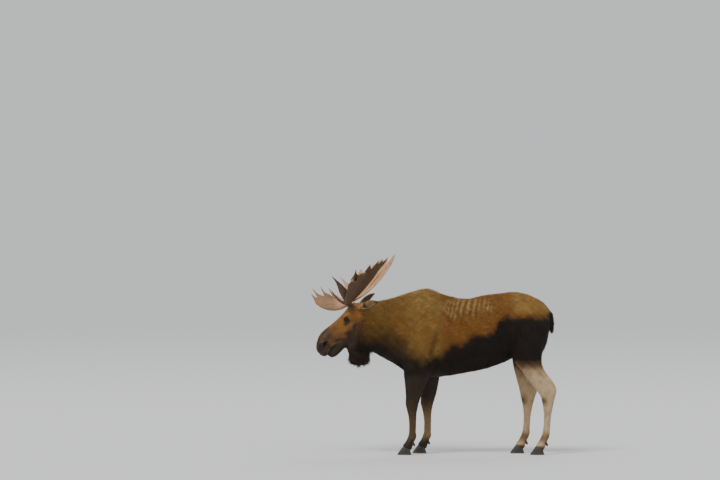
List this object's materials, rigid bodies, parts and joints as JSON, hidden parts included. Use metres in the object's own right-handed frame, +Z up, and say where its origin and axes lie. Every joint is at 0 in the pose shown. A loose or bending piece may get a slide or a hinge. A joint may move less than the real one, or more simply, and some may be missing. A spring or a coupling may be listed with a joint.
{
  "type": "moose",
  "caption": "Life-size still bull moose in mid-stride with its head held forward, with a shoulder hump, a throat bell, and broad antlers with a palm on each side.",
  "frame": {"origin": "on the floor, in the middle of the animal's bounding box", "axes": "+Z up, the nose towards -X, the animal's left side towards -Y"},
  "size_m": [2.8862, 1.3936, 2.339],
  "materials": {
    "golden_coat": "coarse golden-brown guard hair, matte",
    "dark_coat": "near-black brown guard hair, matte",
    "pale_coat": "short grey-tan leg hair, matte",
    "hoof": "dark horn, satin",
    "dark_antler": "stained antler bone, dark brown, matte",
    "pale_antler": "polished antler bone, pinkish tan, matte",
    "eye": "wet dark brown eye"
  },
  "bodies": {
    "root": {"antler_left_beam": "dark_antler", "antler_left_brow": "dark_antler", "antler_left_palm": "dark_antler", "antler_right_beam": "pale_antler", "antler_right_brow": "pale_antler", "antler_right_palm": "pale_antler", "bell": "dark_coat", "claw_fore_left_inner": "hoof", "claw_fore_left_outer": "hoof", "claw_fore_right_inner": "hoof", "claw_fore_right_outer": "hoof", "claw_hind_left_inner": "hoof", "claw_hind_left_outer": "hoof", "claw_hind_right_inner": "hoof", "claw_hind_right_outer": "hoof", "dewclaw_fore_left_inner": "hoof", "dewclaw_fore_left_outer": "hoof", "dewclaw_fore_right_inner": "hoof", "dewclaw_fore_right_outer": "hoof", "dewclaw_hind_left_inner": "hoof", "dewclaw_hind_left_outer": "hoof", "dewclaw_hind_right_inner": "hoof", "dewclaw_hind_right_outer": "hoof", "ear_left": "golden_coat", "ear_right": "golden_coat", "eye_left": "eye", "eye_right": "eye", "fore_cannon_left": "pale_coat", "fore_cannon_right": "pale_coat", "fore_foot_left": "pale_coat", "fore_foot_right": "pale_coat", "forearm_left": "dark_coat", "forearm_right": "dark_coat", "gaskin_left": "pale_coat", "gaskin_right": "pale_coat", "head": "golden_coat", "hind_cannon_left": "pale_coat", "hind_cannon_right": "pale_coat", "hind_foot_left": "pale_coat", "hind_foot_right": "pale_coat", "neck": "golden_coat", "tail": "dark_coat", "thigh_left": "dark_coat", "thigh_right": "dark_coat", "trunk": "golden_coat"}
  },
  "joints": []
}
